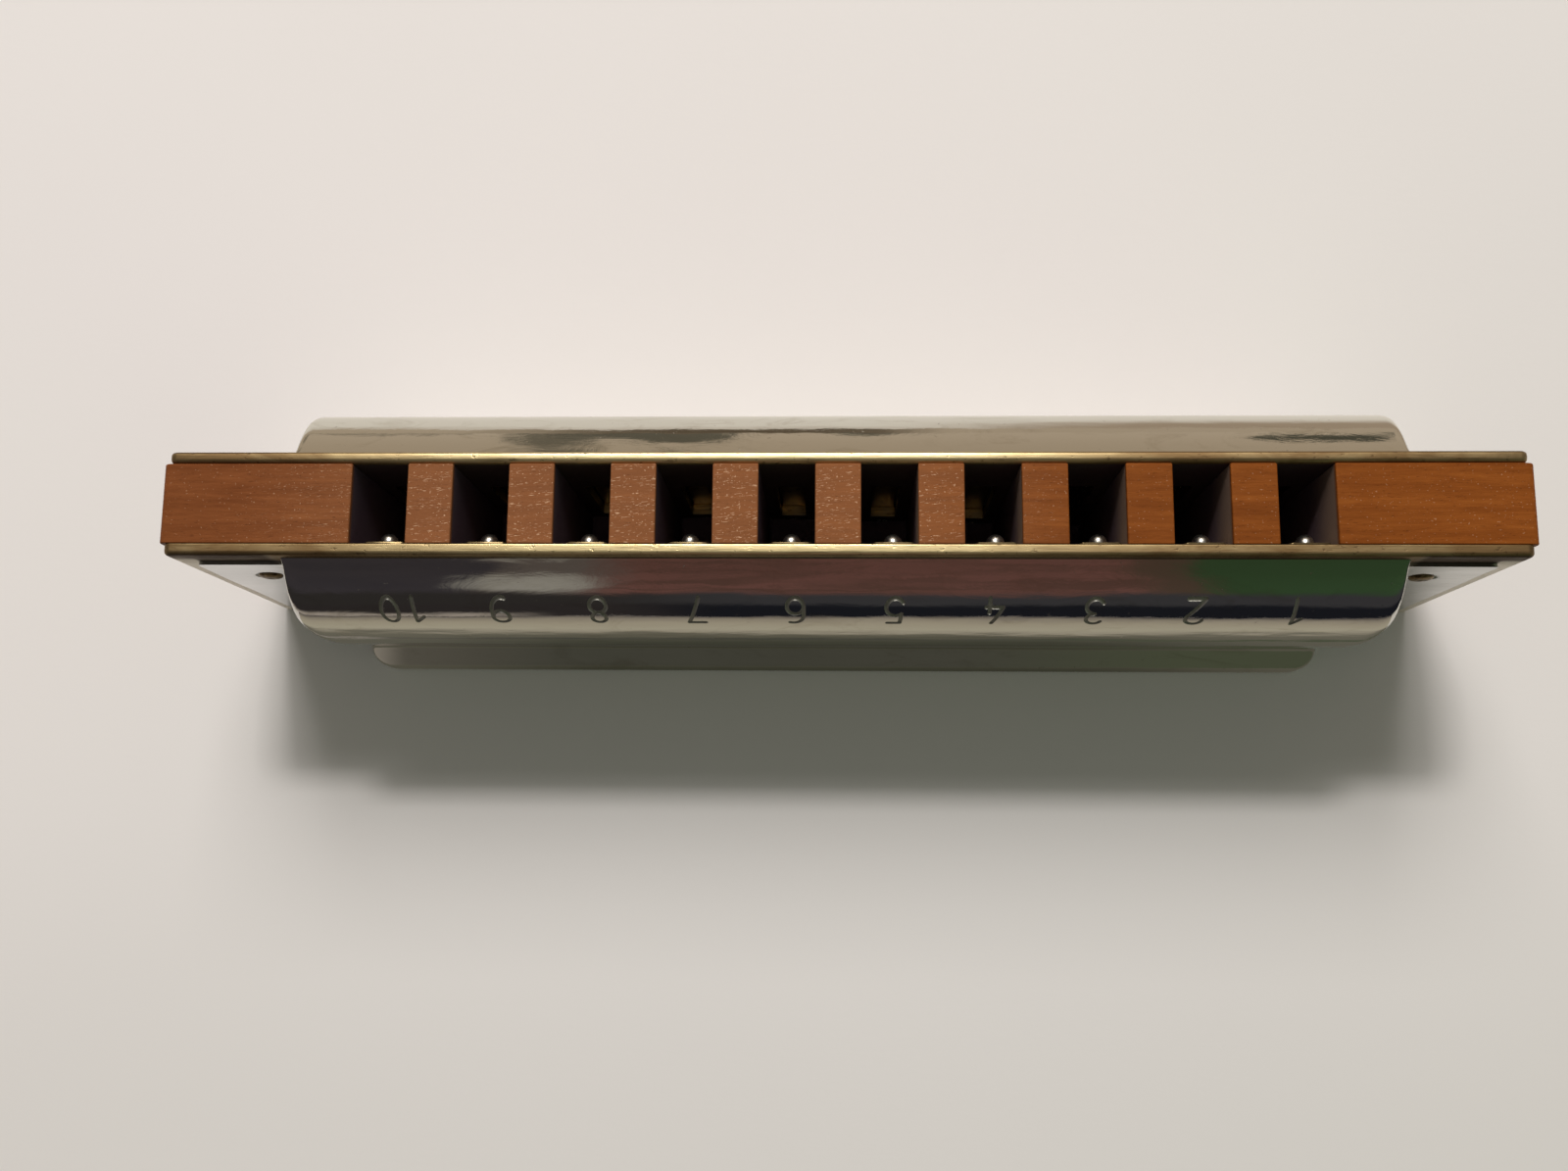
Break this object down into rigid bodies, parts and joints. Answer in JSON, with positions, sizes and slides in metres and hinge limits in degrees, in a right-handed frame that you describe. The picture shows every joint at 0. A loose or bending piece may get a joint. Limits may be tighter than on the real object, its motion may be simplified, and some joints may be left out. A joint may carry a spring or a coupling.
{
  "type": "diatonic harmonica",
  "caption": "Diatonic harmonica with a wooden comb, brass reed plates, hinged brass reeds and bright pressed covers, standing on its rear edges.",
  "frame": {"origin": "centre of the flat rear plane the instrument stands on", "axes": "+Z out of the mouthpiece face, X along the length with hole 1 at +X, the numbered blow cover faces -Y"},
  "size_m": [0.1, 0.0184, 0.0265],
  "materials": {
    "comb_wood": "lacquered satin",
    "plate_brass": "tarnished",
    "reed_brass": "ground",
    "cover_chrome": "mirror",
    "rivet_steel": "bright",
    "nail_brass": "aged"
  },
  "bodies": {
    "frame": {"comb": "comb_wood", "blow_reed_plate": "plate_brass", "draw_reed_plate": "plate_brass", "blow_cover": "cover_chrome", "draw_cover": "cover_chrome", "blow_reed_roots": "reed_brass", "draw_reed_roots": "reed_brass", "blow_reed_rivets": "rivet_steel", "draw_reed_rivets": "rivet_steel", "blow_plate_nails": "nail_brass", "draw_plate_nails": "nail_brass", "cover_nails": "nail_brass"},
    "blow_reed_1": {"blow_reed_1": "reed_brass"},
    "blow_reed_2": {"blow_reed_2": "reed_brass"},
    "blow_reed_3": {"blow_reed_3": "reed_brass"},
    "blow_reed_4": {"blow_reed_4": "reed_brass"},
    "blow_reed_5": {"blow_reed_5": "reed_brass"},
    "blow_reed_6": {"blow_reed_6": "reed_brass"},
    "blow_reed_7": {"blow_reed_7": "reed_brass"},
    "blow_reed_8": {"blow_reed_8": "reed_brass"},
    "blow_reed_9": {"blow_reed_9": "reed_brass"},
    "blow_reed_10": {"blow_reed_10": "reed_brass"},
    "draw_reed_1": {"draw_reed_1": "reed_brass"},
    "draw_reed_2": {"draw_reed_2": "reed_brass"},
    "draw_reed_3": {"draw_reed_3": "reed_brass"},
    "draw_reed_4": {"draw_reed_4": "reed_brass"},
    "draw_reed_5": {"draw_reed_5": "reed_brass"},
    "draw_reed_6": {"draw_reed_6": "reed_brass"},
    "draw_reed_7": {"draw_reed_7": "reed_brass"},
    "draw_reed_8": {"draw_reed_8": "reed_brass"},
    "draw_reed_9": {"draw_reed_9": "reed_brass"},
    "draw_reed_10": {"draw_reed_10": "reed_brass"}
  },
  "joints": [
    {"name": "blow_reed_1_flex", "type": "hinge", "parent": "frame", "child": "blow_reed_1", "pos_m": [0.03375, -0.00288, 0.0226], "axis": [1, 0, 0], "range_deg": [-4, 3], "stiffness_Nm_per_rad": 0.000765},
    {"name": "blow_reed_2_flex", "type": "hinge", "parent": "frame", "child": "blow_reed_2", "pos_m": [0.02625, -0.00288, 0.0226], "axis": [1, 0, 0], "range_deg": [-4, 3], "stiffness_Nm_per_rad": 0.000622},
    {"name": "blow_reed_3_flex", "type": "hinge", "parent": "frame", "child": "blow_reed_3", "pos_m": [0.01875, -0.00288, 0.0226], "axis": [1, 0, 0], "range_deg": [-4, 3], "stiffness_Nm_per_rad": 0.000498},
    {"name": "blow_reed_4_flex", "type": "hinge", "parent": "frame", "child": "blow_reed_4", "pos_m": [0.01125, -0.00288, 0.0226], "axis": [1, 0, 0], "range_deg": [-4, 3], "stiffness_Nm_per_rad": 0.000392},
    {"name": "blow_reed_5_flex", "type": "hinge", "parent": "frame", "child": "blow_reed_5", "pos_m": [0.00375, -0.00288, 0.0226], "axis": [1, 0, 0], "range_deg": [-4, 3], "stiffness_Nm_per_rad": 0.000318},
    {"name": "blow_reed_6_flex", "type": "hinge", "parent": "frame", "child": "blow_reed_6", "pos_m": [-0.00375, -0.00288, 0.0226], "axis": [1, 0, 0], "range_deg": [-4, 3], "stiffness_Nm_per_rad": 0.00027},
    {"name": "blow_reed_7_flex", "type": "hinge", "parent": "frame", "child": "blow_reed_7", "pos_m": [-0.01125, -0.00288, 0.0226], "axis": [1, 0, 0], "range_deg": [-4, 3], "stiffness_Nm_per_rad": 0.000227},
    {"name": "blow_reed_8_flex", "type": "hinge", "parent": "frame", "child": "blow_reed_8", "pos_m": [-0.01875, -0.00288, 0.0226], "axis": [1, 0, 0], "range_deg": [-4, 3], "stiffness_Nm_per_rad": 0.000194},
    {"name": "blow_reed_9_flex", "type": "hinge", "parent": "frame", "child": "blow_reed_9", "pos_m": [-0.02625, -0.00288, 0.0226], "axis": [1, 0, 0], "range_deg": [-4, 3], "stiffness_Nm_per_rad": 0.000171},
    {"name": "blow_reed_10_flex", "type": "hinge", "parent": "frame", "child": "blow_reed_10", "pos_m": [-0.03375, -0.00288, 0.0226], "axis": [1, 0, 0], "range_deg": [-4, 3], "stiffness_Nm_per_rad": 0.000154},
    {"name": "draw_reed_1_flex", "type": "hinge", "parent": "frame", "child": "draw_reed_1", "pos_m": [0.03375, 0.00402, 0.0045], "axis": [1, 0, 0], "range_deg": [-3, 4], "stiffness_Nm_per_rad": 0.000705},
    {"name": "draw_reed_2_flex", "type": "hinge", "parent": "frame", "child": "draw_reed_2", "pos_m": [0.02625, 0.00402, 0.0056], "axis": [1, 0, 0], "range_deg": [-3, 4], "stiffness_Nm_per_rad": 0.000558},
    {"name": "draw_reed_3_flex", "type": "hinge", "parent": "frame", "child": "draw_reed_3", "pos_m": [0.01875, 0.00402, 0.0067], "axis": [1, 0, 0], "range_deg": [-3, 4], "stiffness_Nm_per_rad": 0.000432},
    {"name": "draw_reed_4_flex", "type": "hinge", "parent": "frame", "child": "draw_reed_4", "pos_m": [0.01125, 0.00402, 0.0076], "axis": [1, 0, 0], "range_deg": [-3, 4], "stiffness_Nm_per_rad": 0.000345},
    {"name": "draw_reed_5_flex", "type": "hinge", "parent": "frame", "child": "draw_reed_5", "pos_m": [0.00375, 0.00402, 0.0083], "axis": [1, 0, 0], "range_deg": [-3, 4], "stiffness_Nm_per_rad": 0.000286},
    {"name": "draw_reed_6_flex", "type": "hinge", "parent": "frame", "child": "draw_reed_6", "pos_m": [-0.00375, 0.00402, 0.0088], "axis": [1, 0, 0], "range_deg": [-3, 4], "stiffness_Nm_per_rad": 0.000248},
    {"name": "draw_reed_7_flex", "type": "hinge", "parent": "frame", "child": "draw_reed_7", "pos_m": [-0.01125, 0.00402, 0.0092], "axis": [1, 0, 0], "range_deg": [-3, 4], "stiffness_Nm_per_rad": 0.00022},
    {"name": "draw_reed_8_flex", "type": "hinge", "parent": "frame", "child": "draw_reed_8", "pos_m": [-0.01875, 0.00402, 0.0096], "axis": [1, 0, 0], "range_deg": [-3, 4], "stiffness_Nm_per_rad": 0.000194},
    {"name": "draw_reed_9_flex", "type": "hinge", "parent": "frame", "child": "draw_reed_9", "pos_m": [-0.02625, 0.00402, 0.01], "axis": [1, 0, 0], "range_deg": [-3, 4], "stiffness_Nm_per_rad": 0.000171},
    {"name": "draw_reed_10_flex", "type": "hinge", "parent": "frame", "child": "draw_reed_10", "pos_m": [-0.03375, 0.00402, 0.0103], "axis": [1, 0, 0], "range_deg": [-3, 4], "stiffness_Nm_per_rad": 0.000154}
  ]
}
